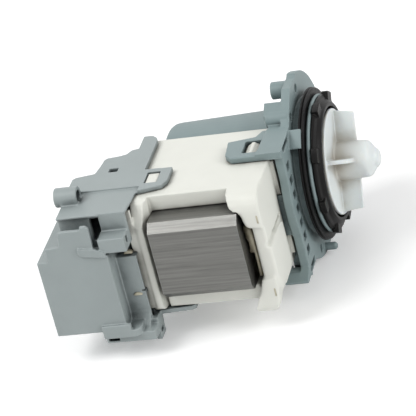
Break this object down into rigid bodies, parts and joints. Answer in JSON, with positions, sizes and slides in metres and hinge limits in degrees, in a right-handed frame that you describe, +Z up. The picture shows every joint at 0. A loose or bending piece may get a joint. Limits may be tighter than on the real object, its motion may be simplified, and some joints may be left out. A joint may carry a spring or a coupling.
{
  "type": "washer drain pump",
  "caption": "Compact synchronous drain pump with a round sealed flange, a bladed impeller, an open side lamination stack and a rear connector box.",
  "frame": {"origin": "on the pump axis at the front face of the mounting flange", "axes": "+X along the pump axis towards the impeller, +Y away from the stator, +Z up"},
  "size_m": [0.1159, 0.1067, 0.0701],
  "materials": {
    "teal_grey_plastic": "satin moulded",
    "blue_grey_plastic": "satin moulded",
    "white_plastic": "satin moulded",
    "clear_white_plastic": "smooth moulded",
    "beige_plastic": "satin moulded",
    "black_plastic": "satin moulded",
    "black_rubber": "matt",
    "shaft_steel": "ground",
    "lamination_steel": "punched, varnished",
    "ferrite": "matt sintered",
    "sintered_bronze": "matt sintered",
    "copper_wire": "enamelled wire",
    "terminal_brass": "stamped"
  },
  "bodies": {
    "pump_frame": {"flange_housing": "teal_grey_plastic", "sealing_ring": "black_rubber", "retaining_ring": "black_plastic", "bearing_carrier": "black_plastic", "front_cushion": "black_rubber", "front_bearing": "sintered_bronze", "rear_cushion": "black_rubber", "rear_bearing": "sintered_bronze", "shaft_seal": "black_rubber", "stator_core": "lamination_steel", "upper_bobbin": "beige_plastic", "lower_bobbin": "beige_plastic", "upper_coil": "copper_wire", "lower_coil": "copper_wire", "thermal_cutout": "black_plastic", "motor_housing": "white_plastic", "rear_cover": "blue_grey_plastic", "terminal_upper": "terminal_brass", "terminal_lower": "terminal_brass"},
    "rotor": {"rotor_shaft": "shaft_steel", "rotor_magnet": "ferrite", "magnet_carrier": "beige_plastic", "front_thrust_washer": "beige_plastic", "rear_thrust_washer": "beige_plastic", "drive_dog": "beige_plastic", "dog_damper": "black_rubber"},
    "impeller_body": {"impeller": "clear_white_plastic", "hub_cap": "clear_white_plastic"}
  },
  "joints": [
    {"name": "rotor_spin", "type": "hinge", "parent": "pump_frame", "child": "rotor", "pos_m": [0, 0, 0], "axis": [1, 0, 0], "continuous": true},
    {"name": "impeller_play", "type": "hinge", "parent": "rotor", "child": "impeller_body", "pos_m": [0, 0, 0], "axis": [1, 0, 0], "range_deg": [-120, 120]}
  ]
}
